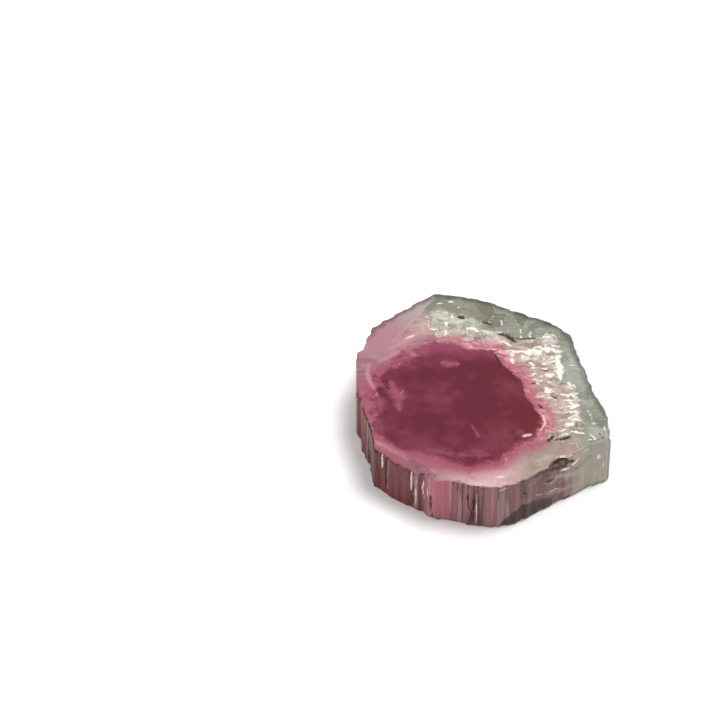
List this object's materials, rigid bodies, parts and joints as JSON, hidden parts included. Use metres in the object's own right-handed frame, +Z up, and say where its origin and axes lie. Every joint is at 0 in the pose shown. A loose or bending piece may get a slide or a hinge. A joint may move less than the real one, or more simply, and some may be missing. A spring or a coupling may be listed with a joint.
{
  "type": "tourmaline slice",
  "caption": "Sawn cross-section slice of a pink-to-green tourmaline crystal: flat cut faces, striated prism walls, chipped rim; rests flat as a small mineral specimen.",
  "frame": {"origin": "on the lower cut face, under the middle of the slice's outline", "axes": "+Z up along the crystal's length, square to both cut faces; +X to the right and +Y away from the viewer, as the picture shows the slice"},
  "size_m": [0.012, 0.0125, 0.0029],
  "materials": {
    "tourmaline": "clear to cloudy crystal, polished cut faces and striated natural walls"
  },
  "bodies": {
    "root": {"tourmaline_slice": "tourmaline"}
  },
  "joints": []
}
